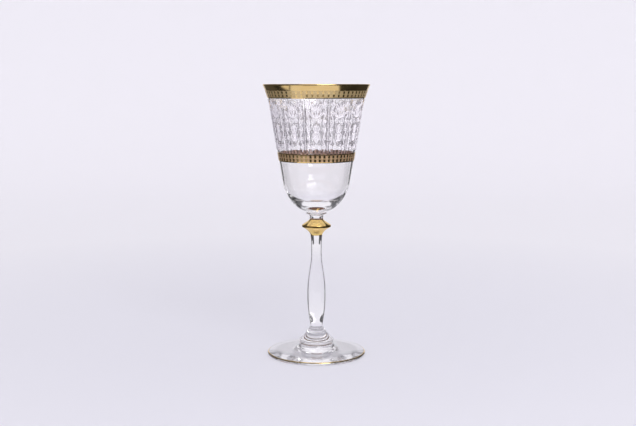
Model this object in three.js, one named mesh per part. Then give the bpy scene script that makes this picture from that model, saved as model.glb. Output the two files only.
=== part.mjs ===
// White wine glass: a bell-shaped bowl on a knopped baluster stem and a stepped round foot, with fired gilding.
// Millimetres, +Z up. The origin is the centre of the face that the glass stands on.
import * as THREE from "three";

// Foot: a round plate on a standing ring, dished underneath, with a raised step in the middle
const FOOT_RADIUS = 34.5;
const FOOT_EDGE_THICKNESS = 2.2;
const FOOT_PLATE_RISE = 1.6;
const FOOT_FILLET_REACH = 5.8;
const FOOT_STEP_RADIUS = 11.5;
const FOOT_HEIGHT = 9.3;
const STANDING_RING_WIDTH = 5.2;
const HOLLOW_DEPTH = 1.3;

// Foot collar: the conical button that joins the stem to the foot
const COLLAR_EDGE_RADIUS = 12.1;
const COLLAR_EDGE_THICKNESS = 1.5;
const COLLAR_TOP_RADIUS = 5.0;
const COLLAR_HEIGHT = 9.5;

// Stem: a slim baluster that swells low down and draws in to a waist under the knop
const STEM_ANKLE_RADIUS = 4.35;
const STEM_ANKLE_HEIGHT = 2.0;
const STEM_BELLY_RADIUS = 6.5;
const STEM_BELLY_HEIGHT = 23.8;
const STEM_WAIST_RADIUS = 3.6;
const STEM_WAIST_HEIGHT = 53.9;
const STEM_TOP_RADIUS = 4.1;
const STEM_LENGTH = 66.1;

// Knop: two hollow-sided cones, base to base on a rounded edge, with a short straight collar at each end
const KNOP_FOOT_RADIUS = 3.9;
const KNOP_EDGE_RADIUS = 10.0;
const KNOP_EDGE_THICKNESS = 1.1;
const KNOP_EDGE_REACH = 0.35;
const KNOP_EDGE_HEIGHT = 6.6;
const KNOP_TOP_RADIUS = 4.5;
const KNOP_COLLAR_HEIGHT = 0.5;
const KNOP_HEIGHT = 11.4;

// Neck: the short spool above the knop
const NECK_RADIUS = 4.7;
const NECK_STRAIGHT_HEIGHT = 1.4;
const NECK_TOP_RADIUS = 5.7;
const NECK_HEIGHT = 3.6;

// Merese: the thin flat button under the bowl
const MERESE_RADIUS = 7.1;
const MERESE_THICKNESS = 1.2;

// Bowl: a thick rounded base, a straight tapering wall and a flared lip
const BOWL_BASE_RADIUS = 6.7;
const BOWL_BASE_THICKNESS = 4.7;
const BOWL_BELLY_RADIUS = 23.6;
const BOWL_BELLY_HEIGHT = 21.7;
const BOWL_LIP_START_RADIUS = 31.3;
const BOWL_LIP_LENGTH = 20.5;
const BOWL_RIM_RADIUS = 37.0;
const BOWL_RIM_SLOPE = 0.5;
const BOWL_HEIGHT = 88.7;
const BELLY_WALL = 1.4;
const RIM_WALL = 1.0;

// Gilding: gold films on the lip, round the bowl, over the knop and along the edge of the foot
const GILT_THICKNESS = 0.15;
const GILT_CLEARANCE = 0.05;
const RIM_GILT_WIDTH = 9.4;
const RIM_GILT_INSIDE_WIDTH = 1.0;
const WAIST_GILT_WIDTH = 5.9;
const WAIST_GILT_DROP = 46.7;
const FOOT_LINE_START = THREE.MathUtils.degToRad(20);
const FOOT_LINE_END = THREE.MathUtils.degToRad(70);

// Facets round the axis
const WIDE_FACETS = 48;
const SLIM_FACETS = 32;

// Each glass piece stands on the one below it
const COLLAR_LEVEL = FOOT_HEIGHT;
const STEM_LEVEL = COLLAR_LEVEL + COLLAR_HEIGHT;
const KNOP_LEVEL = STEM_LEVEL + STEM_LENGTH;
const NECK_LEVEL = KNOP_LEVEL + KNOP_HEIGHT;
const MERESE_LEVEL = NECK_LEVEL + NECK_HEIGHT;
const BOWL_LEVEL = MERESE_LEVEL + MERESE_THICKNESS;

// An outline is a list of points, each a radius and a height
const at = (radius, height) => new THREE.Vector2(radius, height);

// Evenly spaced numbers from one value to another, both ends included
function stations(from, to, count) {
  return Array.from({ length: count + 1 }, (_, i) => from + ((to - from) * i) / count);
}

// Points along a cubic curve between two outline points, pulled by two handles
function curve(start, startHandle, endHandle, end, count) {
  return new THREE.CubicBezierCurve(start, startHandle, endHandle, end).getPoints(count);
}

// A rounded edge, drawn upwards between two angles from its level middle; its reach is how far it bulges
const UNDERSIDE = -Math.PI / 2;
const TOP = Math.PI / 2;
function roundedEdge(radius, low, thickness, from = UNDERSIDE, to = TOP, count = 4, reach = thickness / 2) {
  return stations(from, to, count).map((angle) =>
    at(radius - reach + reach * Math.cos(angle), low + (thickness / 2) * (1 + Math.sin(angle))),
  );
}

// Joins stretches of outline and drops the point that two neighbours share
function joined(...stretches) {
  return stretches.flat().filter((p, i, all) => i === 0 || p.distanceTo(all[i - 1]) > 1e-6);
}

// Moves an outline sideways by a distance, to its right as it is drawn, with square corners kept square
function offset(line, distance) {
  const sides = line.slice(1).map((p, i) => {
    const along = p.clone().sub(line[i]).normalize();
    return at(along.y, -along.x);
  });
  return line.map((p, i) => {
    const before = sides[Math.max(i - 1, 0)];
    const after = sides[Math.min(i, sides.length - 1)];
    const reach = distance / (1 + before.dot(after));
    return at(p.x + (before.x + after.x) * reach, p.y + (before.y + after.y) * reach);
  });
}

// The closed outline of a gold film that follows a stretch of glass
function film(line) {
  const under = offset(line, GILT_CLEARANCE);
  const over = offset(line, GILT_CLEARANCE + GILT_THICKNESS);
  return [...over, ...under.reverse(), over[0]];
}

const crystal = () => new THREE.MeshStandardMaterial({ color: 0xeef1f4, roughness: 0.03, metalness: 0 });
const gold = () => new THREE.MeshStandardMaterial({ color: 0xd8b26c, roughness: 0.14, metalness: 1 });

// A body of revolution about +Z, standing at its level
function turned(name, outline, facets, material, level) {
  const geometry = new THREE.LatheGeometry(outline, facets);
  geometry.rotateX(Math.PI / 2);
  const mesh = new THREE.Mesh(geometry, material);
  mesh.name = name;
  mesh.position.z = level;
  return mesh;
}

function footPieces() {
  const edgeEnd = FOOT_RADIUS - FOOT_EDGE_THICKNESS / 2;
  const standingInner = edgeEnd - STANDING_RING_WIDTH;
  const plateInner = FOOT_STEP_RADIUS + FOOT_FILLET_REACH;
  const plateTop = FOOT_EDGE_THICKNESS + FOOT_PLATE_RISE;
  const slope = FOOT_PLATE_RISE / (edgeEnd - plateInner);
  const onPlate = (radius) => at(radius, FOOT_EDGE_THICKNESS + slope * (edgeEnd - radius));
  const footEdge = (from, to, count) => roundedEdge(FOOT_RADIUS, 0, FOOT_EDGE_THICKNESS, from, to, count);
  const giltLine = footEdge(FOOT_LINE_START, FOOT_LINE_END, 2);
  const outline = joined(
    curve(
      at(0, HOLLOW_DEPTH),
      at(standingInner * 0.5, HOLLOW_DEPTH),
      at(standingInner * 0.7, 0),
      at(standingInner, 0),
      5,
    ),
    footEdge(UNDERSIDE, FOOT_LINE_START, 4),
    giltLine,
    footEdge(FOOT_LINE_END, TOP, 1),
    curve(
      onPlate(plateInner),
      at(plateInner - FOOT_FILLET_REACH * 0.6, plateTop + slope * FOOT_FILLET_REACH * 0.6),
      at(FOOT_STEP_RADIUS, plateTop + (FOOT_HEIGHT - plateTop) * 0.45),
      at(FOOT_STEP_RADIUS, FOOT_HEIGHT),
      6,
    ),
    [at(0, FOOT_HEIGHT)],
  );
  return [
    turned("foot", outline, WIDE_FACETS, crystal(), 0),
    turned("foot_gilt_line", film(giltLine), WIDE_FACETS, gold(), 0),
  ];
}

function footCollar() {
  const coneFoot = COLLAR_EDGE_RADIUS - COLLAR_EDGE_THICKNESS / 2;
  const reach = coneFoot - COLLAR_TOP_RADIUS;
  const rise = COLLAR_HEIGHT - COLLAR_EDGE_THICKNESS;
  const outline = joined(
    [at(0, 0)],
    roundedEdge(COLLAR_EDGE_RADIUS, 0, COLLAR_EDGE_THICKNESS),
    curve(
      at(coneFoot, COLLAR_EDGE_THICKNESS),
      at(coneFoot - reach * 0.36, COLLAR_EDGE_THICKNESS + rise * 0.28),
      at(COLLAR_TOP_RADIUS + reach * 0.3, COLLAR_HEIGHT - rise * 0.36),
      at(COLLAR_TOP_RADIUS, COLLAR_HEIGHT),
      4,
    ),
    [at(0, COLLAR_HEIGHT)],
  );
  return turned("foot_collar", outline, SLIM_FACETS, crystal(), COLLAR_LEVEL);
}

function stem() {
  const swelling = STEM_BELLY_HEIGHT - STEM_ANKLE_HEIGHT;
  const tapering = STEM_WAIST_HEIGHT - STEM_BELLY_HEIGHT;
  const flaring = STEM_LENGTH - STEM_WAIST_HEIGHT;
  const outline = joined(
    [at(0, 0), at(STEM_ANKLE_RADIUS, 0)],
    curve(
      at(STEM_ANKLE_RADIUS, STEM_ANKLE_HEIGHT),
      at(STEM_ANKLE_RADIUS, STEM_ANKLE_HEIGHT + swelling * 0.1),
      at(STEM_BELLY_RADIUS, STEM_BELLY_HEIGHT - swelling * 0.57),
      at(STEM_BELLY_RADIUS, STEM_BELLY_HEIGHT),
      6,
    ),
    curve(
      at(STEM_BELLY_RADIUS, STEM_BELLY_HEIGHT),
      at(STEM_BELLY_RADIUS, STEM_BELLY_HEIGHT + tapering * 0.51),
      at(STEM_WAIST_RADIUS, STEM_WAIST_HEIGHT - tapering * 0.31),
      at(STEM_WAIST_RADIUS, STEM_WAIST_HEIGHT),
      8,
    ),
    curve(
      at(STEM_WAIST_RADIUS, STEM_WAIST_HEIGHT),
      at(STEM_WAIST_RADIUS, STEM_WAIST_HEIGHT + flaring * 0.42),
      at(STEM_TOP_RADIUS - (STEM_TOP_RADIUS - STEM_WAIST_RADIUS) * 0.74, STEM_LENGTH - flaring * 0.27),
      at(STEM_TOP_RADIUS, STEM_LENGTH),
      4,
    ),
    [at(0, STEM_LENGTH)],
  );
  return turned("stem", outline, SLIM_FACETS, crystal(), STEM_LEVEL);
}

function knopPieces() {
  const edgeFoot = KNOP_EDGE_HEIGHT - KNOP_EDGE_THICKNESS / 2;
  const edgeTop = KNOP_EDGE_HEIGHT + KNOP_EDGE_THICKNESS / 2;
  const edgeEnd = KNOP_EDGE_RADIUS - KNOP_EDGE_REACH;
  const lowerReach = edgeEnd - KNOP_FOOT_RADIUS;
  const upperReach = edgeEnd - KNOP_TOP_RADIUS;
  const lowerRise = edgeFoot - KNOP_COLLAR_HEIGHT;
  const upperRise = KNOP_HEIGHT - KNOP_COLLAR_HEIGHT - edgeTop;
  const flank = joined(
    [at(KNOP_FOOT_RADIUS, 0)],
    curve(
      at(KNOP_FOOT_RADIUS, KNOP_COLLAR_HEIGHT),
      at(KNOP_FOOT_RADIUS + lowerReach * 0.16, KNOP_COLLAR_HEIGHT + lowerRise * 0.42),
      at(edgeEnd - lowerReach * 0.4, edgeFoot - lowerRise * 0.24),
      at(edgeEnd, edgeFoot),
      5,
    ),
    roundedEdge(KNOP_EDGE_RADIUS, edgeFoot, KNOP_EDGE_THICKNESS, UNDERSIDE, TOP, 4, KNOP_EDGE_REACH),
    curve(
      at(edgeEnd, edgeTop),
      at(edgeEnd - upperReach * 0.47, edgeTop + upperRise * 0.47),
      at(KNOP_TOP_RADIUS + upperReach * 0.05, edgeTop + upperRise * 0.52),
      at(KNOP_TOP_RADIUS, KNOP_HEIGHT - KNOP_COLLAR_HEIGHT),
      5,
    ),
    [at(KNOP_TOP_RADIUS, KNOP_HEIGHT)],
  );
  const outline = [at(0, 0), ...flank, at(0, KNOP_HEIGHT)];
  return [
    turned("knop", outline, SLIM_FACETS, crystal(), KNOP_LEVEL),
    turned("knop_gilding", film(flank), SLIM_FACETS, gold(), KNOP_LEVEL),
  ];
}

function neck() {
  const flare = NECK_HEIGHT - NECK_STRAIGHT_HEIGHT;
  const outline = joined(
    [at(0, 0), at(NECK_RADIUS, 0)],
    curve(
      at(NECK_RADIUS, NECK_STRAIGHT_HEIGHT),
      at(NECK_RADIUS, NECK_STRAIGHT_HEIGHT + flare * 0.5),
      at(NECK_RADIUS + (NECK_TOP_RADIUS - NECK_RADIUS) * 0.3, NECK_HEIGHT - flare * 0.2),
      at(NECK_TOP_RADIUS, NECK_HEIGHT),
      4,
    ),
    [at(0, NECK_HEIGHT)],
  );
  return turned("neck", outline, SLIM_FACETS, crystal(), NECK_LEVEL);
}

function merese() {
  const edge = roundedEdge(MERESE_RADIUS, 0, MERESE_THICKNESS);
  return turned("merese", [at(0, 0), ...edge, at(0, MERESE_THICKNESS)], SLIM_FACETS, crystal(), MERESE_LEVEL);
}

// A cubic between two heights of the bowl, with a radius and a slope given at each
function blend(height, low, high) {
  const span = high.height - low.height;
  const t = (height - low.height) / span;
  const rise = t * t * (3 - 2 * t);
  const leaving = t * (1 - t) * (1 - t) * span * low.slope;
  const arriving = t * t * (1 - t) * span * high.slope;
  return low.radius + (high.radius - low.radius) * rise + leaving - arriving;
}

function bowlPieces() {
  const rimHeight = BOWL_HEIGHT - RIM_WALL / 2;
  const lipStart = BOWL_HEIGHT - BOWL_LIP_LENGTH;
  const slope = (BOWL_LIP_START_RADIUS - BOWL_BELLY_RADIUS) / (lipStart - BOWL_BELLY_HEIGHT);
  const belly = { height: BOWL_BELLY_HEIGHT, radius: BOWL_BELLY_RADIUS, slope };
  const lip = { height: lipStart, radius: BOWL_LIP_START_RADIUS, slope };
  const rim = { height: rimHeight, radius: BOWL_RIM_RADIUS, slope: BOWL_RIM_SLOPE };
  const outsideRadius = (h) => (h < lipStart ? blend(h, belly, lip) : blend(h, lip, rim));
  const wall = (h) => THREE.MathUtils.mapLinear(h, BOWL_BELLY_HEIGHT, rimHeight, BELLY_WALL, RIM_WALL);
  const outside = (from, to, count) => stations(from, to, count).map((h) => at(outsideRadius(h), h));
  const inside = (from, to, count) => stations(from, to, count).map((h) => at(outsideRadius(h) - wall(h), h));

  const waistTop = BOWL_HEIGHT - WAIST_GILT_DROP;
  const waistFoot = waistTop - WAIST_GILT_WIDTH;
  const rimGiltFoot = BOWL_HEIGHT - RIM_GILT_WIDTH;
  const insideGiltFoot = rimHeight - RIM_GILT_INSIDE_WIDTH;
  const waistLine = outside(waistFoot, waistTop, 1);
  const lipRound = stations(0, Math.PI, 4).map((angle) =>
    at(
      BOWL_RIM_RADIUS - (RIM_WALL / 2) * (1 - Math.cos(angle)),
      rimHeight + (RIM_WALL / 2) * Math.sin(angle),
    ),
  );
  const rimLine = joined(outside(rimGiltFoot, rimHeight, 5), lipRound, inside(rimHeight, insideGiltFoot, 1));

  const baseReach = BOWL_BELLY_RADIUS - BOWL_BASE_RADIUS;
  const floorRadius = BOWL_BELLY_RADIUS - BELLY_WALL;
  const floorRise = BOWL_BELLY_HEIGHT - BOWL_BASE_THICKNESS;
  const outline = joined(
    [at(0, 0)],
    curve(
      at(BOWL_BASE_RADIUS, 0),
      at(BOWL_BASE_RADIUS + baseReach * 0.545, BOWL_BELLY_HEIGHT * 0.136),
      at(BOWL_BELLY_RADIUS - slope * BOWL_BELLY_HEIGHT * 0.44, BOWL_BELLY_HEIGHT * 0.56),
      at(BOWL_BELLY_RADIUS, BOWL_BELLY_HEIGHT),
      9,
    ),
    outside(BOWL_BELLY_HEIGHT, waistFoot, 1),
    waistLine,
    outside(waistTop, lipStart, 1),
    outside(lipStart, rimGiltFoot, 3),
    rimLine,
    inside(insideGiltFoot, lipStart, 6),
    inside(lipStart, BOWL_BELLY_HEIGHT, 1),
    curve(
      at(floorRadius, BOWL_BELLY_HEIGHT),
      at(floorRadius - slope * floorRise * 0.66, BOWL_BELLY_HEIGHT - floorRise * 0.66),
      at(floorRadius * 0.56, BOWL_BASE_THICKNESS),
      at(0, BOWL_BASE_THICKNESS),
      9,
    ),
  );
  return [
    turned("bowl", outline, WIDE_FACETS, crystal(), BOWL_LEVEL),
    turned("waist_gilding", film(waistLine), WIDE_FACETS, gold(), BOWL_LEVEL),
    turned("rim_gilding", film(rimLine), WIDE_FACETS, gold(), BOWL_LEVEL),
  ];
}

const wineGlass = new THREE.Group();
wineGlass.add(
  ...footPieces(),
  footCollar(),
  stem(),
  ...knopPieces(),
  neck(),
  merese(),
  ...bowlPieces(),
);

export default wineGlass;
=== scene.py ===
import math

import bmesh
import bpy
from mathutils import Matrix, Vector
from mathutils.geometry import interpolate_bezier


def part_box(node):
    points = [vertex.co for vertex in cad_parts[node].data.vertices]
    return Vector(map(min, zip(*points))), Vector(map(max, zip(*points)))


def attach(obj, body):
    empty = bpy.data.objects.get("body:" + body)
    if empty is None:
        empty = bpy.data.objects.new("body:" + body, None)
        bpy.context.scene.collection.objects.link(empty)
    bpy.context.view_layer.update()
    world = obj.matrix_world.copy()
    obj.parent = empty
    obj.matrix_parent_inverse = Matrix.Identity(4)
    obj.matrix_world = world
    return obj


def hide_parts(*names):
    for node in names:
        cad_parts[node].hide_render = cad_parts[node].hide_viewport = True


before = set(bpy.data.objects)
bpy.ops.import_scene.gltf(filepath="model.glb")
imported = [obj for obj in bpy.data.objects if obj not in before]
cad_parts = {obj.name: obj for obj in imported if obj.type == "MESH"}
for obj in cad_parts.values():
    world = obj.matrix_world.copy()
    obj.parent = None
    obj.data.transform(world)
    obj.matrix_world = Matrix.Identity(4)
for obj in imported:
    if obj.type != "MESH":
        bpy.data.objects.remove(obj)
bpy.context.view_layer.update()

MM = 0.001
TURN = 2 * math.pi
SAME_POINT = 1e-7
SAME_LEVEL = 1e-6
SMOOTH_LIMIT = math.radians(35)

# Steps round the axis of the turned pieces
SLIM_STEPS = 144
FOOT_STEPS = 180
BOWL_STEPS = 192

# Sizes of the glass in millimetres, and its angles, slopes and counts, that the frame doesn't give
FOOT_EDGE = 2.2
FOOT_PLATE_RISE = 1.6
FOOT_FILLET = 5.8
FOOT_STEP = 11.5
FOOT_FILLET_PULL = 0.4
FOOT_STEP_PULL = 0.66
STANDING_RING = 5.2
HOLLOW = 1.3
COLLAR_EDGE = 1.5
COLLAR_TOP = 5.0
STEM_ANKLE = 4.35
STEM_ANKLE_RISE = 2.0
STEM_BELLY_RISE = 23.8
STEM_WAIST = 3.6
STEM_WAIST_RISE = 53.9
STEM_TOP = 4.1
KNOP_FOOT = 3.9
KNOP_EDGE = 1.15
KNOP_EDGE_REACH = 0.06
KNOP_EDGE_RISE = 6.6
KNOP_TOP = 4.5
KNOP_COLLAR = 0.3
NECK = 4.7
NECK_STRAIGHT = 1.4
BOWL_BASE = 6.5
BOWL_BASE_THICKNESS = 4.7
BOWL_BELLY = 23.6
BOWL_BELLY_RISE = 21.7
BOWL_LIP_START = 31.3
BOWL_LIP_LENGTH = 20.5
BOWL_RIM_SLOPE = 0.5
BASE_PULL_OUT = 0.545
BASE_PULL_UP = 0.136
BELLY_PULL = 0.44
FLOOR_PULL_UP = 0.66
FLOOR_PULL_OUT = 0.56
BELLY_WALL = 1.4
RIM_WALL = 1.0
GILT_SINK = 0.02
GILT_THIN = 0.08
GILT_PROUD = 0.2
GILT_BORDER = 0.7
FOOT_LINE_START = math.radians(20)
FOOT_LINE_END = math.radians(70)
FOOT_LINE_RISE = 0.05
FOOT_LINE_ROUND = 3.0
FOOT_LINE_TILT_LOW = math.radians(32)
FOOT_LINE_TILT_HIGH = math.radians(46)
RIM_GILT_PLAIN = 4.3
RIM_GILT_INSIDE = 1.0
RIM_STUDS = 60
RIM_STUD_BORDER = 0.3
WAIST_STUDS = 54
WAIST_STUD_BORDER = 0.05
WAIST_STUD_ROWS = 2
WAIST_STUD_GAP = 0.5
STUD_RISE = 0.05
LACE_PANELS = 12
LACE_ABOVE_WAIST = 1.3
LACE_BELOW_RIM = 0.2
ETCHED_LINE = 0.65
CUT_LINE = 0.55
COLUMN_INSET = 0.75
ARCH_INSET = 3.3
STALK_INSET = 1.75
STALK_MARGIN = 0.8
STALK_BENDS = 6
STALK_SWING = 0.9
STALK_STEPS = 8
CURL = 1.2
CURL_TURNS = 1.1
LEAF_ROOT_PULL = 0.3
LEAF_TIP_PULL = 0.35
SCROLL_WOUND_IN = 0.86
SCROLL_STEPS = 14

# The view: the lens in pixels of the 636-wide picture, the camera's place and its tilt
IMAGE_WIDTH = 636
LENS_PIXELS = 1020
CAMERA_BACK = 0.7086
CAMERA_RIGHT = 0.0011
CAMERA_TILT = 7.21
SENSOR_WIDTH = 36


def top_of(node):
    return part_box(node)[1].z


def foot_of(node):
    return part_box(node)[0].z


def reach_of(node):
    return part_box(node)[1].x


# Outlines are lists of radius and height, in metres

def at(radius_mm, height):
    return Vector((radius_mm * MM, height))


def even(low, high, steps):
    return [low + (high - low) * step / steps for step in range(steps + 1)]


def bend(start, start_handle, end_handle, end, steps):
    return interpolate_bezier(start, start_handle, end_handle, end, steps + 1)


def curve(start, end, leave, arrive, steps):
    """A smooth curve between two points.

    Each handle lies some shares of the curve's whole reach and rise away from its own end.
    """
    reach, rise = end - start
    start_handle = start + Vector((reach * leave[0], rise * leave[1]))
    end_handle = end - Vector((reach * arrive[0], rise * arrive[1]))
    return bend(start, start_handle, end_handle, end, steps)


def half_round(radius, low, thickness, reach=None, steps=12):
    """A rounded edge, from its underside to its top; its reach is how far it bulges."""
    bulge = reach or thickness / 2
    half = thickness / 2
    return [
        Vector((radius - bulge + bulge * math.cos(angle), low + half * (1 + math.sin(angle))))
        for angle in even(-math.pi / 2, math.pi / 2, steps)
    ]


def joined(*stretches):
    """One outline from several, without the points that two neighbours share."""
    outline = []
    for stretch in stretches:
        for point in stretch:
            if not outline or (point - outline[-1]).length > SAME_POINT:
                outline.append(point)
    return outline


def offset(line, distance):
    """A line moved to its right as it is drawn."""
    sides = []
    for start, end in zip(line, line[1:]):
        along = (end - start).normalized()
        sides.append(Vector((along.y, -along.x)))
    moved = []
    for index, point in enumerate(line):
        before = sides[max(index - 1, 0)]
        after = sides[min(index, len(sides) - 1)]
        moved.append(point + (before + after) * distance / (1 + before.dot(after)))
    return moved


def film(line, sink, proud):
    """The closed outline of a gold film that follows a line of glass."""
    return offset(line, proud * MM) + offset(line, -sink * MM)[::-1]


# Turned bodies

def piece_from(bm, name, *materials):
    """A finished piece of the object, riding on its only body."""
    mesh = bpy.data.meshes.new(name)
    bm.to_mesh(mesh)
    bm.free()
    for material in materials:
        mesh.materials.append(material)
    piece = bpy.data.objects.new(name, mesh)
    bpy.context.scene.collection.objects.link(piece)
    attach(piece, "root")
    return piece


def turn(outline, steps, closed):
    """A bmesh of an outline turned once about the axis of the glass."""
    bm = bmesh.new()
    line = [bm.verts.new((point.x, 0, point.y)) for point in outline]
    pairs = list(zip(line, line[1:]))
    if closed:
        pairs.append((line[-1], line[0]))
    edges = [bm.edges.new(pair) for pair in pairs]
    bmesh.ops.spin(
        bm, geom=line + edges, cent=(0, 0, 0), axis=(0, 0, 1), angle=TURN, steps=steps, use_merge=True,
    )
    bmesh.ops.remove_doubles(bm, verts=bm.verts, dist=SAME_POINT)
    bmesh.ops.recalc_face_normals(bm, faces=bm.faces)
    for face in bm.faces:
        face.smooth = True
    for edge in bm.edges:
        edge.smooth = edge.calc_face_angle(0) < SMOOTH_LIMIT
    return bm


def glass_piece(node, outline, seams, steps=SLIM_STEPS):
    """A clear glass body in place of a CAD node.

    Seams are the flat discs where it is fused to its neighbours, each a height and a radius.
    """
    bm = turn(outline, steps, closed=False)
    for face in bm.faces:
        middle = face.calc_center_median()
        for height, radius in seams:
            if abs(middle.z - height) < SAME_LEVEL and middle.xy.length < radius * MM:
                face.material_index = 1
    piece = piece_from(bm, node + "_glass", crystal, fused_seam)
    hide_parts(node)
    return piece


def gilt_piece(node, bm, *materials):
    """A film of gold in place of a CAD node."""
    piece = piece_from(bm, node + "_gold", *materials)
    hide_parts(node)
    return piece


# Materials

def new_material(name):
    material = bpy.data.materials.new(name)
    material.use_nodes = True
    tree = material.node_tree
    return material, tree, tree.nodes["Principled BSDF"]


def noise(tree, scale, detail):
    """A noise texture on the piece's own coordinates; its scale is in cells per metre."""
    coordinates = tree.nodes.new("ShaderNodeTexCoord")
    mapping = tree.nodes.new("ShaderNodeMapping")
    mapping.inputs["Scale"].default_value = scale
    texture = tree.nodes.new("ShaderNodeTexNoise")
    texture.inputs["Scale"].default_value = 1
    texture.inputs["Detail"].default_value = detail
    tree.links.new(coordinates.outputs["Object"], mapping.inputs["Vector"])
    tree.links.new(mapping.outputs["Vector"], texture.inputs["Vector"])
    return texture.outputs["Fac"]


def ranged(tree, value, low, high):
    """A texture's 0 to 1 taken to another range."""
    node = tree.nodes.new("ShaderNodeMapRange")
    node.inputs["To Min"].default_value = low
    node.inputs["To Max"].default_value = high
    tree.links.new(value, node.inputs["Value"])
    return node.outputs["Result"]


def coloured(tree, shader, value, darker, lighter, start=0.0, end=1.0):
    """The surface's colour goes from a darker to a lighter one as a texture rises from start to end."""
    ramp = tree.nodes.new("ShaderNodeValToRGB")
    first, last = ramp.color_ramp.elements
    first.position = start
    first.color = (*darker, 1)
    last.position = end
    last.color = (*lighter, 1)
    tree.links.new(value, ramp.inputs["Fac"])
    tree.links.new(ramp.outputs["Color"], shader.inputs["Base Color"])


def roughened(tree, shader, value, low, high):
    tree.links.new(ranged(tree, value, low, high), shader.inputs["Roughness"])


def bumped(tree, shader, height, strength, distance):
    node = tree.nodes.new("ShaderNodeBump")
    node.inputs["Strength"].default_value = strength
    node.inputs["Distance"].default_value = distance
    tree.links.new(height, node.inputs["Height"])
    tree.links.new(node.outputs["Normal"], shader.inputs["Normal"])


def make_crystal():
    """Clear crystal with the faint ripple that fire polishing leaves."""
    material, tree, shader = new_material("clear_crystal")
    shader.inputs["Transmission Weight"].default_value = 1
    shader.inputs["IOR"].default_value = 1.51
    smear = noise(tree, (60, 60, 25), 3)
    coloured(tree, shader, smear, (0.974, 0.963, 0.98), (0.986, 0.977, 0.99))
    roughened(tree, shader, smear, 0, 0.02)
    ripple = noise(tree, (40, 40, 120), 1)
    bumped(tree, shader, ripple, 0.05, 0.4 * MM)
    return material


def make_fused_seam():
    """Where two gathers of hot glass have melted together there is no surface to see."""
    material, tree, shader = new_material("fused_seam")
    clear = tree.nodes.new("ShaderNodeBsdfTransparent")
    tree.links.new(clear.outputs["BSDF"], tree.nodes["Material Output"].inputs["Surface"])
    tree.nodes.remove(shader)
    return material


def make_gilding(name, darker, lighter):
    """Fired and burnished gold: warm, mirror bright, a little uneven where the brush laid it."""
    material, tree, shader = new_material(name)
    shader.inputs["Metallic"].default_value = 1
    strokes = noise(tree, (90, 90, 420), 4)
    coloured(tree, shader, strokes, darker, lighter, 0.3, 0.7)
    roughened(tree, shader, strokes, 0.06, 0.2)
    bumped(tree, shader, strokes, 0.025, 0.3 * MM)
    return material


def make_etched_gilding(name, darker, lighter):
    """The ground between the studs: the same gold, matt and browner."""
    material, tree, shader = new_material(name)
    shader.inputs["Metallic"].default_value = 0.75
    grain = noise(tree, (1800, 1800, 1800), 3)
    coloured(tree, shader, grain, darker, lighter, 0.3, 0.75)
    roughened(tree, shader, grain, 0.24, 0.38)
    bumped(tree, shader, grain, 0.3, 0.1 * MM)
    return material


def make_fired_side(name, darker, lighter):
    """The brown underside of the gold, where it was fired on to the glass; a darker copy of it is
    painted shade.
    """
    material, tree, shader = new_material(name)
    grain = noise(tree, (1500, 1500, 1500), 2)
    coloured(tree, shader, grain, darker, lighter)
    roughened(tree, shader, grain, 0.4, 0.6)
    return material


def make_etching():
    """Acid-etched glass: white and matt, with a fine grain."""
    material, tree, shader = new_material("white_etching")
    shader.inputs["Transmission Weight"].default_value = 0.2
    shader.inputs["IOR"].default_value = 1.05
    grain = noise(tree, (2500, 2500, 2500), 2)
    coloured(tree, shader, grain, (0.95, 0.915, 0.94), (1.0, 0.98, 1.0))
    roughened(tree, shader, grain, 0.55, 0.8)
    bumped(tree, shader, grain, 0.2, 0.1 * MM)
    return material


# Glass pieces, from the foot up

def foot_plate(radius):
    """Height of the foot's sloping top at a radius, in metres."""
    edge_end = reach_of("foot") - FOOT_EDGE * MM / 2
    fillet_end = (FOOT_STEP + FOOT_FILLET) * MM
    return (FOOT_EDGE + FOOT_PLATE_RISE * (edge_end - radius) / (edge_end - fillet_end)) * MM


def make_foot():
    radius = reach_of("foot")
    top = top_of("foot")
    standing = radius - (FOOT_EDGE / 2 + STANDING_RING) * MM
    fillet_end = (FOOT_STEP + FOOT_FILLET) * MM
    fillet_middle = (FOOT_STEP + FOOT_FILLET * FOOT_FILLET_PULL) * MM
    seam = reach_of("foot_collar") / MM - COLLAR_EDGE / 2
    outline = joined(
        curve(at(0, HOLLOW * MM), Vector((standing, 0)), (0.5, 0), (0.3, 0), 24),
        half_round(radius, 0, FOOT_EDGE * MM),
        bend(
            Vector((fillet_end, foot_plate(fillet_end))),
            Vector((fillet_middle, foot_plate(fillet_middle))),
            at(FOOT_STEP, top * FOOT_STEP_PULL),
            at(FOOT_STEP, top),
            20,
        ),
        [at(seam, top), at(0, top)],
    )
    return glass_piece("foot", outline, [(top, seam)], steps=FOOT_STEPS)


def make_foot_collar():
    low, top = foot_of("foot_collar"), top_of("foot_collar")
    edge_end = reach_of("foot_collar") - COLLAR_EDGE * MM / 2
    cone_foot = Vector((edge_end, low + COLLAR_EDGE * MM))
    outline = joined(
        [at(0, low)],
        half_round(reach_of("foot_collar"), low, COLLAR_EDGE * MM),
        curve(cone_foot, at(COLLAR_TOP, top), (0.36, 0.28), (0.3, 0.36), 16),
        [at(STEM_ANKLE, top), at(0, top)],
    )
    return glass_piece("foot_collar", outline, [(low, edge_end / MM), (top, STEM_ANKLE)])


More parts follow.
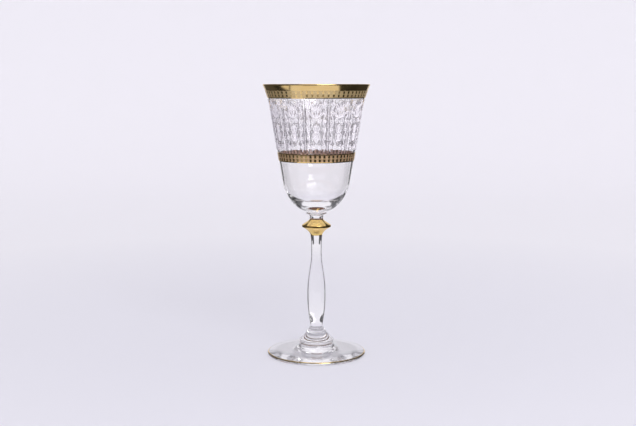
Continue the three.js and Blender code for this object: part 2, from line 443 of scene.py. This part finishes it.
def make_stem():
    low, top = foot_of("stem"), top_of("stem")
    ankle = at(STEM_ANKLE, low + STEM_ANKLE_RISE * MM)
    belly = at(reach_of("stem") / MM, low + STEM_BELLY_RISE * MM)
    waist = at(STEM_WAIST, low + STEM_WAIST_RISE * MM)
    outline = joined(
        [at(0, low), at(STEM_ANKLE, low)],
        curve(ankle, belly, (0, 0.1), (0, 0.57), 24),
        curve(belly, waist, (0, 0.51), (0, 0.31), 32),
        curve(waist, at(STEM_TOP, top), (0, 0.42), (0.74, 0.27), 14),
        [at(KNOP_FOOT, top), at(0, top)],
    )
    return glass_piece("stem", outline, [(low, STEM_ANKLE), (top, KNOP_FOOT)])


def knop_flank():
    """The outside of the knop: two hollow cones and the squared edge between them."""
    low, top = foot_of("knop"), top_of("knop")
    edge_low = low + (KNOP_EDGE_RISE - KNOP_EDGE / 2) * MM
    edge_top = edge_low + KNOP_EDGE * MM
    edge_end = reach_of("knop") / MM - KNOP_EDGE_REACH
    lower_foot = at(KNOP_FOOT, low + KNOP_COLLAR * MM)
    upper_top = at(KNOP_TOP, top - KNOP_COLLAR * MM)
    return joined(
        [at(KNOP_FOOT, low)],
        curve(lower_foot, at(edge_end, edge_low), (0.16, 0.42), (0.4, 0.24), 18),
        half_round(reach_of("knop"), edge_low, KNOP_EDGE * MM, KNOP_EDGE_REACH * MM),
        curve(at(edge_end, edge_top), upper_top, (0.47, 0.47), (0.2, 0.32), 18),
        [at(KNOP_TOP, top)],
    )


def make_knop():
    low, top = foot_of("knop"), top_of("knop")
    outline = [at(0, low), *knop_flank(), at(0, top)]
    return glass_piece("knop", outline, [(low, KNOP_FOOT), (top, KNOP_TOP)])


def make_neck():
    low, top = foot_of("neck"), top_of("neck")
    neck_top = reach_of("neck") / MM
    flare = at(NECK, low + NECK_STRAIGHT * MM)
    outline = joined(
        [at(0, low), at(KNOP_TOP, low), at(NECK, low)],
        curve(flare, at(neck_top, top), (0, 0.5), (0.7, 0.2), 12),
        [at(0, top)],
    )
    return glass_piece("neck", outline, [(low, KNOP_TOP), (top, neck_top)])


def make_merese():
    low, top = foot_of("merese"), top_of("merese")
    neck_top = reach_of("neck") / MM
    edge = half_round(reach_of("merese"), low, top - low)
    outline = joined([at(0, low), at(neck_top, low)], edge, [at(BOWL_BASE, top), at(0, top)])
    return glass_piece("merese", outline, [(low, neck_top), (top, BOWL_BASE)])


# The bowl: its outside is a radius for each height, which the gold and the lace follow

BOWL_LOW = foot_of("bowl")
BOWL_TOP = top_of("bowl")
BELLY_Z = BOWL_LOW + BOWL_BELLY_RISE * MM
LIP_Z = BOWL_TOP - BOWL_LIP_LENGTH * MM
RIM_Z = BOWL_TOP - RIM_WALL * MM / 2
RIM_RADIUS = reach_of("bowl")
WALL_SLOPE = (BOWL_LIP_START - BOWL_BELLY) * MM / (LIP_Z - BELLY_Z)


def bowl_outside(z):
    """Radius of the bowl's outside between its belly and its rim."""
    if z < LIP_Z:
        return BOWL_BELLY * MM + WALL_SLOPE * (z - BELLY_Z)
    span = RIM_Z - LIP_Z
    t = (z - LIP_Z) / span
    rise = t * t * (3 - 2 * t)
    leaving = t * (1 - t) * (1 - t) * span * WALL_SLOPE
    arriving = t * t * (1 - t) * span * BOWL_RIM_SLOPE
    return BOWL_LIP_START * MM + (RIM_RADIUS - BOWL_LIP_START * MM) * rise + leaving - arriving


def bowl_inside(z):
    wall = BELLY_WALL + (RIM_WALL - BELLY_WALL) * (z - BELLY_Z) / (RIM_Z - BELLY_Z)
    return bowl_outside(z) - wall * MM


def skin(low, high, steps, lift=0.0):
    """The bowl's outside from one height to another, lifted by some millimetres."""
    return [Vector((bowl_outside(z) + lift * MM, z)) for z in even(low, high, steps)]


def lip_round(lift=0.0, steps=12):
    """Over the lip from the outside to the inside."""
    half = RIM_WALL * MM / 2
    return [
        Vector((
            RIM_RADIUS - half + (half + lift * MM) * math.cos(math.pi * step / steps),
            RIM_Z + (half + lift * MM) * math.sin(math.pi * step / steps),
        ))
        for step in range(steps + 1)
    ]


def make_bowl():
    base = at(BOWL_BASE, BOWL_LOW)
    belly = at(BOWL_BELLY, BELLY_Z)
    base_reach, base_rise = belly - base
    base_handle = base + Vector((base_reach * BASE_PULL_OUT, base_rise * BASE_PULL_UP))
    down_wall = Vector((-WALL_SLOPE, -1))
    floor = at(0, BOWL_LOW + BOWL_BASE_THICKNESS * MM)
    floor_edge = Vector((bowl_inside(BELLY_Z), BELLY_Z))
    floor_reach, floor_rise = floor_edge - floor
    floor_handle = floor + Vector((floor_reach * FLOOR_PULL_OUT, 0))
    outline = joined(
        [at(0, BOWL_LOW)],
        bend(base, base_handle, belly + down_wall * base_rise * BELLY_PULL, belly, 36),
        skin(BELLY_Z, LIP_Z, 12),
        skin(LIP_Z, RIM_Z, 20),
        lip_round(),
        [Vector((bowl_inside(z), z)) for z in even(RIM_Z, LIP_Z, 20)],
        [Vector((bowl_inside(z), z)) for z in even(LIP_Z, BELLY_Z, 12)],
        bend(floor_edge, floor_edge + down_wall * floor_rise * FLOOR_PULL_UP, floor_handle, floor, 36),
    )
    return glass_piece("bowl", outline, [(BOWL_LOW, BOWL_BASE)], steps=BOWL_STEPS)


# Gilding

def raise_studs(bm, count, rows, border, glass_sides):
    """Rows of low polished studs on a matt ground, in the gold between pairs of heights of the bowl."""
    step = TURN / count / 2
    studs = []
    for face in bm.faces:
        middle = face.calc_center_median()
        column = round(math.atan2(middle.y, middle.x) / step - 0.5)
        row = [number for number, (low, high) in enumerate(rows) if low < middle.z < high]
        on_glass = middle.xy.length < bowl_outside(middle.z) and middle.z < RIM_Z - RIM_GILT_INSIDE * MM
        if on_glass:
            # On the glass side the faces take the glass_sides colours in a checker; in the waist the
            # second one is painted shade
            face.material_index = glass_sides[(column + row[0]) % 2 if row else 0]
        elif rows[0][0] < middle.z < rows[-1][1]:
            face.material_index = 1
        if row and not on_glass and column % 2 == 0:
            studs.append(face)
    bmesh.ops.inset_individual(
        bm, faces=studs, thickness=border * MM, depth=STUD_RISE * MM, use_even_offset=True,
    )
    for face in studs:
        face.material_index = 0
        face.smooth = False


def gilt_band(outline, count, *pattern):
    """A gold band turned with two steps for each stud, so that the studs fall on its faces."""
    bm = turn(outline, count * 2, closed=True)
    raise_studs(bm, count, *pattern)
    return bm


def make_waist_gilding():
    low, top = foot_of("waist_gilding"), top_of("waist_gilding")
    border = GILT_BORDER * MM
    gap = WAIST_STUD_GAP * MM
    pitch = (top - low - 2 * border + gap) / WAIST_STUD_ROWS
    starts = [low + border + pitch * row for row in range(WAIST_STUD_ROWS)]
    rows = [(start, start + pitch - gap) for start in starts]
    heights = [low] + [height for row in rows for height in row] + [top]
    outline = joined(
        skin(low, top, 4, -GILT_SINK)[::-1],
        [Vector((bowl_outside(z) + GILT_PROUD * MM, z)) for z in heights],
    )
    # Seen through the glass, the brown underside alternates with a darker one that is painted shade
    bm = gilt_band(outline, WAIST_STUDS, rows, WAIST_STUD_BORDER, (2, 3))
    return gilt_piece("waist_gilding", bm, gilding, brown_gilding, fired_side, painted_shade_fired_side)


def make_rim_gilding():
    low = foot_of("rim_gilding")
    border_top = low + GILT_BORDER * MM
    plain_low = BOWL_TOP - RIM_GILT_PLAIN * MM
    rows = [(border_top, plain_low)]
    inside_low = RIM_Z - RIM_GILT_INSIDE * MM
    outline = joined(
        [Vector((bowl_inside(z) + GILT_SINK * MM, z)) for z in even(inside_low, RIM_Z, 3)],
        lip_round(-GILT_SINK)[::-1],
        skin(low, RIM_Z, 12, -GILT_SINK)[::-1],
        skin(low, border_top, 1, GILT_PROUD),
        skin(border_top, plain_low, 2, GILT_PROUD),
        skin(plain_low, RIM_Z, 8, GILT_PROUD),
        lip_round(GILT_PROUD),
        [Vector((bowl_inside(z) - GILT_THIN * MM, z)) for z in even(RIM_Z, inside_low, 3)],
    )
    bm = gilt_band(outline, RIM_STUDS, rows, RIM_STUD_BORDER, (1, 1))
    return gilt_piece("rim_gilding", bm, gilding, etched_gilding)


def make_knop_gilding():
    """The gold over the knop, brown on its side against the glass."""
    bm = turn(film(knop_flank(), GILT_SINK, GILT_PROUD), SLIM_STEPS, closed=True)
    for face in bm.faces:
        faces_axis = face.normal.xy.dot(face.calc_center_median().xy) < 0
        if faces_axis:
            face.material_index = 1
    return gilt_piece("knop_gilding", bm, thick_gilding, fired_side)


def outward(angle):
    return Vector((math.cos(angle), math.sin(angle)))


def make_foot_gilt_line():
    """A line of gold on the foot's rounded edge, wiped nearly flat across its width."""
    round_radius = FOOT_EDGE * MM / 2
    middle = Vector((reach_of("foot") - round_radius, round_radius))
    wiped_radius = FOOT_LINE_ROUND * MM
    start = middle + outward(FOOT_LINE_START) * (round_radius + FOOT_LINE_RISE * MM)
    wiped_middle = start - outward(FOOT_LINE_TILT_LOW) * wiped_radius
    tilts = even(FOOT_LINE_TILT_LOW, FOOT_LINE_TILT_HIGH, 8)
    angles = even(FOOT_LINE_START, FOOT_LINE_END, 8)
    glass_side = [middle + outward(angle) * (round_radius - GILT_SINK * MM) for angle in angles]
    top_side = [wiped_middle + outward(tilt) * wiped_radius for tilt in tilts]
    outline = top_side + [middle + outward(FOOT_LINE_END) * round_radius] + glass_side[::-1]
    bm = turn(outline, FOOT_STEPS, closed=True)
    # The faces against the glass take the darker underside, which is painted shade
    for face in bm.faces:
        centre = face.calc_center_median()
        across = Vector((centre.xy.length, centre.z)) - middle
        if across.length < round_radius:
            face.material_index = 1
    return gilt_piece("foot_gilt_line", bm, gilding, painted_shade_fired_side)


# The etched lace: one panel of scrollwork, drawn flat in millimetres and repeated round the bowl

def scroll(x, y, radius, start, turns):
    """A spiral that winds in from its start angle; negative turns wind the other way."""
    steps = int(abs(turns) * SCROLL_STEPS)
    line = []
    for step in range(steps + 1):
        t = step / steps
        angle = start + TURN * turns * t
        reach = radius * (1 - SCROLL_WOUND_IN * t)
        line.append((x + reach * math.cos(angle), y + reach * math.sin(angle)))
    return line


def leaf(x, y, length, width, lean):
    """A pointed loop from its root; lean is its angle from upright, in degrees."""
    along = Vector((math.sin(math.radians(lean)), math.cos(math.radians(lean))))
    across = Vector((along.y, -along.x))
    root = Vector((x, y))
    tip = root + along * length
    root_pull = along * length * LEAF_ROOT_PULL
    tip_pull = along * length * LEAF_TIP_PULL
    side = across * width
    one = bend(root, root + root_pull + side, tip - tip_pull + side, tip, 6)
    other = bend(tip, tip - tip_pull - side, root + root_pull - side, root, 6)
    return [tuple(point) for point in one + other[1:]]


def stroke(start, start_handle, end_handle, end, steps=12):
    points = [Vector(point) for point in (start, start_handle, end_handle, end)]
    return [tuple(point) for point in bend(*points, steps)]


def running_scroll(x, low, high):
    """A wavy stalk with a small spiral in each bend."""
    steps = STALK_BENDS * STALK_STEPS
    stalk = []
    for step in range(steps + 1):
        t = step / steps
        stalk.append((x + STALK_SWING * math.sin(math.pi * STALK_BENDS * t), low + (high - low) * t))
    lines = [stalk]
    for bend_number in range(STALK_BENDS):
        side = 1 if bend_number % 2 == 0 else -1
        y = low + (high - low) * (bend_number + 0.5) / STALK_BENDS
        start = 0 if side > 0 else math.pi
        lines.append(scroll(x + side * (STALK_SWING - CURL), y, CURL, start, CURL_TURNS * side))
    return lines


def cut_half(half, high):
    """The clear cut lines of the right half of one panel: a wavy column, an arch and a tall oval."""
    column = half - COLUMN_INSET
    stem = column - ARCH_INSET
    return [
        stroke((column, 0.4), (column - 0.6, 12), (column + 0.4, 24), (column, high - 0.4)),
        stroke((stem, high - 12), (stem + 0.4, high - 4), (2.4, high - 1.0), (0, high - 0.8)),
        stroke((stem, high - 12), (stem - 0.6, 15), (stem + 0.9, 7), (stem - 0.2, 0.6)),
        stroke((0, 19.4), (4.0, 18.4), (3.8, 8), (0, 5.5)),
    ]


def etched_half(half, high):
    """The matt leaves and scrolls of the right half of one panel."""
    column = half - COLUMN_INSET
    lines = [
        leaf(0.6, high - 12.5, 6.0, 1.3, 20),
        leaf(1.1, high - 7.0, 4.4, 1.0, 32),
        leaf(1.5, high - 12.0, 4.0, 0.9, 42),
        scroll(2.0, 21.6, 1.7, math.radians(240), 1.3),
        leaf(0.8, 7.6, 5.4, 1.1, 14),
        leaf(0.7, 13.0, 5.0, 1.0, 10),
        scroll(2.1, 3.0, 1.8, math.radians(100), -1.3),
    ]
    for height in (1.5, 8.5, 15.5, 22.5):
        lines.append(leaf(half, height, 6.2, 0.4, 0))
    return lines + running_scroll(column - STALK_INSET, STALK_MARGIN, high - STALK_MARGIN)


def both_halves(lines):
    """The lines of a right half, and the same lines mirrored for the left half."""
    return lines + [[(-x, y) for x, y in line] for line in lines]


def etched_middle(high):
    """The buds that stand on the middle line of a panel."""
    return [leaf(0, 7.4, 5.4, 0.7, 0), leaf(0, 13.4, 5.4, 0.7, 0), leaf(0, high - 12.5, 8.5, 0.9, 0)]


def line_mesh(panel, thickness, low, middle_radius):
    """Round lines, drawn on every panel of the bowl's outside, as one mesh."""
    drawing = bpy.data.curves.new("lace_lines", "CURVE")
    drawing.dimensions = "3D"
    drawing.bevel_depth = thickness * MM / 2
    drawing.bevel_resolution = 1
    drawing.use_fill_caps = True
    for count in range(LACE_PANELS):
        for line in panel:
            spline = drawing.splines.new("POLY")
            spline.points.add(len(line) - 1)
            for point, (x, y) in zip(spline.points, line):
                z = low + y * MM
                angle = TURN * count / LACE_PANELS + x * MM / middle_radius
                radius = bowl_outside(z)
                point.co = (radius * math.cos(angle), radius * math.sin(angle), z, 1)
    pencil = bpy.data.objects.new("lace_lines", drawing)
    mesh = bpy.data.meshes.new_from_object(pencil)
    bm = bmesh.new()
    bm.from_mesh(mesh)
    bmesh.ops.recalc_face_normals(bm, faces=bm.faces)
    for face in bm.faces:
        face.smooth = True
    bpy.data.objects.remove(pencil)
    bpy.data.meshes.remove(mesh)
    return bm


def make_lace():
    low = top_of("waist_gilding") + LACE_ABOVE_WAIST * MM
    high = foot_of("rim_gilding") - LACE_BELOW_RIM * MM
    middle_radius = bowl_outside((low + high) / 2)
    half = middle_radius * TURN / LACE_PANELS / 2 / MM
    rise = (high - low) / MM
    scrolls = both_halves(etched_half(half, rise)) + etched_middle(rise)
    cuts = both_halves(cut_half(half, rise))
    etched = piece_from(line_mesh(scrolls, ETCHED_LINE, low, middle_radius), "etched_lace", etching)
    cut = piece_from(line_mesh(cuts, CUT_LINE, low, middle_radius), "cut_lace", crystal)


# The studio: a pale sweep, soft light, and dark at the sides for the gold and the glass to mirror

# Zones are pairs of an angle and a brightness. The angle goes round the glass from the viewer to the
# right, in degrees.

# What the gold mirrors: paper as far as RIM_PAPER, paper as far as WAIST_PAPER, and the room beyond
GOLD_ZONES = (
    (-180, 0.9), (-158, 0.85), (-152, 0.07), (-90, 0.06), (-87, 0.95), (-66.5, 0.9), (-66, 0.05),
    (-63.5, 0.05), (-63, 0.95), (0, 1.0), (54, 0.95), (57, 0.05), (114, 0.04), (122, 0.9), (180, 0.95),
)
GOLD_WAIST_ZONES = (
    (-180, 0.9), (-158, 0.85), (-152, 0.03), (-64, 0.03), (-59, 0.98), (-31, 0.98), (-26, 0.03),
    (150, 0.03), (157, 0.85), (180, 0.9),
)
BACK_ZONE = (
    (-180, 0.9), (-158, 0.85), (-150, 0.08), (-60, 0.08), (0, 0.04), (150, 0.045), (158, 0.85),
    (180, 0.9),
)

# What shows through the glass: the floor, its edge, the foot of the wall and the wall
FLOOR_ZONES = (
    (-180, 1.0), (-132, 1.0), (-128, 0.04), (-106, 0.04), (-101, 0.9), (101, 0.9), (106, 0.04),
    (128, 0.04), (132, 1.0), (180, 1.0),
)
EDGE_ZONES = (
    (-180, 0.94), (-163, 0.94), (-159, 0.05), (-147, 0.05), (-143, 0.91), (-132, 0.91), (-128, 0.04),
    (-106, 0.04), (-101, 0.91), (101, 0.91), (106, 0.04), (128, 0.04), (132, 0.91), (143, 0.91),
    (147, 0.05), (159, 0.05), (163, 0.94), (180, 0.94),
)
BASE_ZONES = (
    (-180, 0.94), (-163, 0.94), (-159, 0.05), (-36, 0.05), (-30, 0.91), (30, 0.91), (36, 0.05),
    (159, 0.05), (163, 0.94), (180, 0.94),
)
WALL_ZONES = (
    (-180, 0.93), (-141, 0.93), (-136, 0.05), (-36, 0.05), (-30, 0.91), (30, 0.91), (36, 0.05),
    (136, 0.05), (141, 0.93), (180, 0.93),
)

# How far from the glass the studio changes, in metres: where each change starts and where it ends
PALE_FLOOR = 0.11, 0.15
RIM_PAPER = 0.265, 0.305
WAIST_PAPER = 0.34, 0.40
FOOT_SHADE_END = 0.028, 0.031
FLOOR_START = 0.08, 0.12
EDGE_START = 0.60, 0.70
BASE_START = 0.9, 1.1
GLOW_START = 0.05, 0.3
PAPER_FADE = 0.0, 1.6

# How far up the wall its zones take over, in metres, and the sines of how steeply up the room is pale
WALL_START = 0.10, 0.20
PALE_CEILING = math.sin(math.radians(66)), math.sin(math.radians(74))
CLEAR_CEILING = 0.42, 0.85

# Brightness of the paper and the room in the gold, through the glass and to the eye
PAPER_BY_GLASS = 0.92
GOLD_PAPER = 1.07
GOLD_ROOM = 1.45
GOLD_CEILING = 1.5
FOOT_SHADE = 0.6
GLASS_PAPER = 1.13
GLASS_ROOM = 0.95
ROOM_SEEN = 0.87
GLOW_UNDER_FOOT = 0.65
GLOW_SEEN = 0.5

# Colours of the room and of the paper, near the glass, some way off and far off; the paper's ramp from
# darker near the glass to paler far off is a painted fall-off of light
ROOM_COLOUR = 0.97, 0.96, 1.0, 1
PAPER_NEAR = 0.705, 0.697, 0.757, 1
PAPER_MIDDLE = 0.81, 0.797, 0.839, 1
PAPER_FAR = 0.875, 0.86, 0.905, 1
PAPER_MIDDLE_PLACE = 0.3

# Sizes of the sweep in metres, and its clearance under the glass in millimetres
SWEEP_INNER = 0.3
SWEEP_FLAT = 1.1
SWEEP_WALL = 1.7
SWEEP_CURVE_TOP = 0.7
SWEEP_TOP = 1.6
SWEEP_PULL_OUT = 0.4
SWEEP_PULL_UP = 0.5
SWEEP_BELOW = 0.03
SWEEP_STEPS = 96

# The key light: where it stands and what it points at, in metres
KEY_PLACE = 0.46, -1.12, 0.87
KEY_TARGET = 0, 0, 0.08
KEY_SIZE = 0.95
KEY_ENERGY = 11

BOUNCES = 32


def studio_zones(name, zones):
    """A node group that gives the brightness of some zones in a direction."""
    group = bpy.data.node_groups.new(name, "ShaderNodeTree")
    group.interface.new_socket("Direction", in_out="INPUT", socket_type="NodeSocketVector")
    group.interface.new_socket("Brightness", in_out="OUTPUT", socket_type="NodeSocketFloat")
    nodes, links = group.nodes, group.links
    source = nodes.new("NodeGroupInput")
    result = nodes.new("NodeGroupOutput")
    split = nodes.new("ShaderNodeSeparateXYZ")
    links.new(source.outputs["Direction"], split.inputs["Vector"])
    back = nodes.new("ShaderNodeMath")
    back.operation = "MULTIPLY"
    back.inputs[1].default_value = -1
    links.new(split.outputs["Y"], back.inputs[0])
    angle = nodes.new("ShaderNodeMath")
    angle.operation = "ARCTAN2"
    links.new(split.outputs["X"], angle.inputs[0])
    links.new(back.outputs["Value"], angle.inputs[1])
    share = nodes.new("ShaderNodeMapRange")
    share.inputs["From Min"].default_value = -math.pi
    share.inputs["From Max"].default_value = math.pi
    links.new(angle.outputs["Value"], share.inputs["Value"])
    ramp = nodes.new("ShaderNodeValToRGB")
    stops = ramp.color_ramp.elements
    while len(stops) < len(zones):
        stops.new(0.5)
    for stop, (degrees, value) in zip(stops, zones):
        stop.position = (degrees + 180) / 360
        stop.color = (value, value, value, 1)
    links.new(share.outputs["Result"], ramp.inputs["Fac"])
    links.new(ramp.outputs["Color"], result.inputs["Brightness"])
    return group


def value_mix(tree, factor, first, second):
    """A number between two others; each may be a socket or a plain number."""
    node = tree.nodes.new("ShaderNodeMix")
    node.data_type = "FLOAT"
    sockets = node.inputs["Factor"], node.inputs["A"], node.inputs["B"]
    for socket, value in zip(sockets, (factor, first, second)):
        if isinstance(value, (int, float)):
            socket.default_value = value
        else:
            tree.links.new(value, socket)
    return node.outputs["Result"]


def times(tree, value, factor):
    node = tree.nodes.new("ShaderNodeMath")
    node.operation = "MULTIPLY"
    node.inputs[1].default_value = factor
    tree.links.new(value, node.inputs[0])
    return node.outputs["Value"]


def by_ray(tree, plain, mirrored, through_glass, seen):
    """A number for each way that a ray can arrive; a ray that lights a matt surface takes the first."""
    path = tree.nodes.new("ShaderNodeLightPath")
    value = value_mix(tree, path.outputs["Is Glossy Ray"], plain, mirrored)
    value = value_mix(tree, path.outputs["Is Transmission Ray"], value, through_glass)
    value = value_mix(tree, path.outputs["Diffuse Depth"], value, plain)
    return value_mix(tree, path.outputs["Is Camera Ray"], value, seen)


def zone_brightness(tree, name, zones, direction):
    node = tree.nodes.new("ShaderNodeGroup")
    node.node_tree = bpy.data.node_groups.get(name) or studio_zones(name, zones)
    tree.links.new(direction, node.inputs["Direction"])
    return node.outputs["Brightness"]


def rising(tree, value, low, high):
    """0 below one value and 1 above another, with a soft step between."""
    node = tree.nodes.new("ShaderNodeMapRange")
    node.interpolation_type = "SMOOTHSTEP"
    node.inputs["From Min"].default_value = low
    node.inputs["From Max"].default_value = high
    tree.links.new(value, node.inputs["Value"])
    return node.outputs["Result"]


def make_world():
    world = bpy.data.worlds.new("soft_studio")
    bpy.context.scene.world = world
    world.use_nodes = True
    tree = world.node_tree
    background = tree.nodes["Background"]
    background.inputs["Color"].default_value = ROOM_COLOUR
    direction = tree.nodes.new("ShaderNodeTexCoord").outputs["Generated"]
    split = tree.nodes.new("ShaderNodeSeparateXYZ")
    tree.links.new(direction, split.inputs["Vector"])
    height = split.outputs["Z"]
    room = times(tree, zone_brightness(tree, "back_zone", BACK_ZONE, direction), GOLD_ROOM)
    mirrored = value_mix(tree, rising(tree, height, *PALE_CEILING), room, GOLD_CEILING)
    through_glass = value_mix(tree, rising(tree, height, *CLEAR_CEILING), GLASS_ROOM, 1.0)
    strength = by_ray(tree, 1.0, mirrored, through_glass, ROOM_SEEN)
    tree.links.new(strength, background.inputs["Strength"])


def mirrored_brightness(tree, place, distance):
    """What the gold mirrors: pale paper round the glass, then paper with dark zones, then the room."""
    zones = zone_brightness(tree, "gold_zones", GOLD_ZONES, place)
    waist = zone_brightness(tree, "gold_waist_zones", GOLD_WAIST_ZONES, place)
    room = zone_brightness(tree, "back_zone", BACK_ZONE, place)
    brightness = value_mix(tree, rising(tree, distance, *PALE_FLOOR), PAPER_BY_GLASS, zones)
    brightness = value_mix(tree, rising(tree, distance, *RIM_PAPER), brightness, waist)
    return value_mix(tree, rising(tree, distance, *WAIST_PAPER), brightness, room)


def brightness_through_glass(tree, place, distance):
    """What shows through the glass: shade under the foot, pale paper, and dark zones farther out."""
    split = tree.nodes.new("ShaderNodeSeparateXYZ")
    tree.links.new(place, split.inputs["Vector"])
    brightness = value_mix(tree, rising(tree, distance, *FOOT_SHADE_END), FOOT_SHADE, 1.0)
    for name, zones, measure, start in (
        ("floor_zones", FLOOR_ZONES, distance, FLOOR_START),
        ("edge_zones", EDGE_ZONES, distance, EDGE_START),
        ("base_zones", BASE_ZONES, distance, BASE_START),
        ("wall_zones", WALL_ZONES, split.outputs["Z"], WALL_START),
    ):
        zone = zone_brightness(tree, name, zones, place)
        brightness = value_mix(tree, rising(tree, measure, *start), brightness, zone)
    return brightness


def make_pale_paper():
    """Matt paper that also glows, by an amount that depends on how it is seen."""
    material, tree, shader = new_material("pale_paper")
    tree.nodes.remove(shader)
    place = tree.nodes.new("ShaderNodeTexCoord").outputs["Object"]
    length = tree.nodes.new("ShaderNodeVectorMath")
    length.operation = "LENGTH"
    tree.links.new(place, length.inputs[0])
    distance = length.outputs["Value"]
    # Painted fall-off of light: the paper is darker near the glass and paler far off and up the wall
    paper = tree.nodes.new("ShaderNodeValToRGB")
    stops = paper.color_ramp.elements
    stops[0].color = PAPER_NEAR
    stops[1].color = PAPER_FAR
    stops.new(PAPER_MIDDLE_PLACE).color = PAPER_MIDDLE
    tree.links.new(rising(tree, distance, *PAPER_FADE), paper.inputs["Fac"])
    matt = tree.nodes.new("ShaderNodeBsdfDiffuse")
    tree.links.new(paper.outputs["Color"], matt.inputs["Color"])
    glow = tree.nodes.new("ShaderNodeEmission")
    tree.links.new(paper.outputs["Color"], glow.inputs["Color"])
    mirrored = times(tree, mirrored_brightness(tree, place, distance), GOLD_PAPER)
    through_glass = times(tree, brightness_through_glass(tree, place, distance), GLASS_PAPER)
    tree.links.new(by_ray(tree, 1.0, mirrored, through_glass, 1.0), glow.inputs["Strength"])
    mix = tree.nodes.new("ShaderNodeMixShader")
    under_foot = value_mix(tree, rising(tree, distance, *GLOW_START), GLOW_UNDER_FOOT, 1.0)
    tree.links.new(by_ray(tree, 0.0, 1.0, under_foot, GLOW_SEEN), mix.inputs["Fac"])
    tree.links.new(matt.outputs["BSDF"], mix.inputs[1])
    tree.links.new(glow.outputs["Emission"], mix.inputs[2])
    tree.links.new(mix.outputs["Shader"], tree.nodes["Material Output"].inputs["Surface"])
    return material


def sweep_outline():
    floor_end = Vector((SWEEP_FLAT, 0))
    wall_start = Vector((SWEEP_WALL, SWEEP_CURVE_TOP))
    floor_handle = floor_end + Vector((SWEEP_PULL_OUT, 0))
    wall_handle = wall_start - Vector((0, SWEEP_PULL_UP))
    return joined(
        [Vector((0, 0))],
        [Vector((radius, 0)) for radius in even(SWEEP_INNER, SWEEP_FLAT, 4)],
        bend(floor_end, floor_handle, wall_handle, wall_start, 16),
        [Vector((SWEEP_WALL, SWEEP_TOP))],
    )


def make_sweep():
    """A pale floor that curves up all round into a pale wall."""
    bm = turn(sweep_outline(), SWEEP_STEPS, closed=False)
    bmesh.ops.translate(bm, verts=bm.verts, vec=(0, 0, -SWEEP_BELOW * MM))
    mesh = bpy.data.meshes.new("pale_sweep")
    bm.to_mesh(mesh)
    bm.free()
    mesh.materials.append(make_pale_paper())
    sweep_object = bpy.data.objects.new("pale_sweep", mesh)
    bpy.context.scene.collection.objects.link(sweep_object)


def make_key_light():
    lamp = bpy.data.lights.new("soft_key", "AREA")
    lamp.shape = "DISK"
    lamp.size = KEY_SIZE
    lamp.energy = KEY_ENERGY
    holder = bpy.data.objects.new("soft_key", lamp)
    holder.location = KEY_PLACE
    aim = Vector(KEY_TARGET) - holder.location
    holder.rotation_euler = aim.to_track_quat("-Z", "Y").to_euler()
    holder.visible_camera = False
    bpy.context.scene.collection.objects.link(holder)


def make_camera():
    lens = bpy.data.cameras.new("photo_view")
    lens.sensor_width = SENSOR_WIDTH
    lens.lens = lens.sensor_width * LENS_PIXELS / IMAGE_WIDTH
    camera = bpy.data.objects.new("photo_view", lens)
    camera.location = (CAMERA_RIGHT, -CAMERA_BACK, top_of("rim_gilding"))
    camera.rotation_euler = (math.radians(90 - CAMERA_TILT), 0, 0)
    bpy.context.scene.collection.objects.link(camera)
    bpy.context.scene.camera = camera


def allow_deep_glass(cycles):
    """Enough bounces for light to find its way out of the thick base and the foot."""
    cycles.max_bounces = BOUNCES
    cycles.glossy_bounces = BOUNCES
    cycles.transmission_bounces = BOUNCES
    cycles.transparent_max_bounces = BOUNCES


crystal = make_crystal()
fused_seam = make_fused_seam()
gilding = make_gilding("burnished_gilding", (0.92, 0.64, 0.265), (1.0, 0.755, 0.35))
thick_gilding = make_gilding("thick_gilding", (0.93, 0.61, 0.2), (1.0, 0.735, 0.285))
etched_gilding = make_etched_gilding("etched_gilding", (0.78, 0.525, 0.23), (1.0, 0.83, 0.45))
brown_gilding = make_etched_gilding("brown_gilding", (0.74, 0.45, 0.22), (0.98, 0.73, 0.45))
fired_side = make_fired_side("fired_side", (0.84, 0.53, 0.39), (0.98, 0.69, 0.53))
# A darker underside that is painted shade, for the glass side of the waist and of the foot line
painted_shade_fired_side = make_fired_side("painted_shade_fired_side", (0.27, 0.145, 0.1), (0.42, 0.25, 0.18))
etching = make_etching()

make_foot()
make_foot_collar()
make_stem()
make_knop()
make_neck()
make_merese()
make_bowl()
make_foot_gilt_line()
make_knop_gilding()
make_waist_gilding()
make_rim_gilding()
make_lace()

make_world()
make_sweep()
make_key_light()
make_camera()
bpy.context.scene.view_settings.view_transform = "Standard"
allow_deep_glass(bpy.context.scene.cycles)
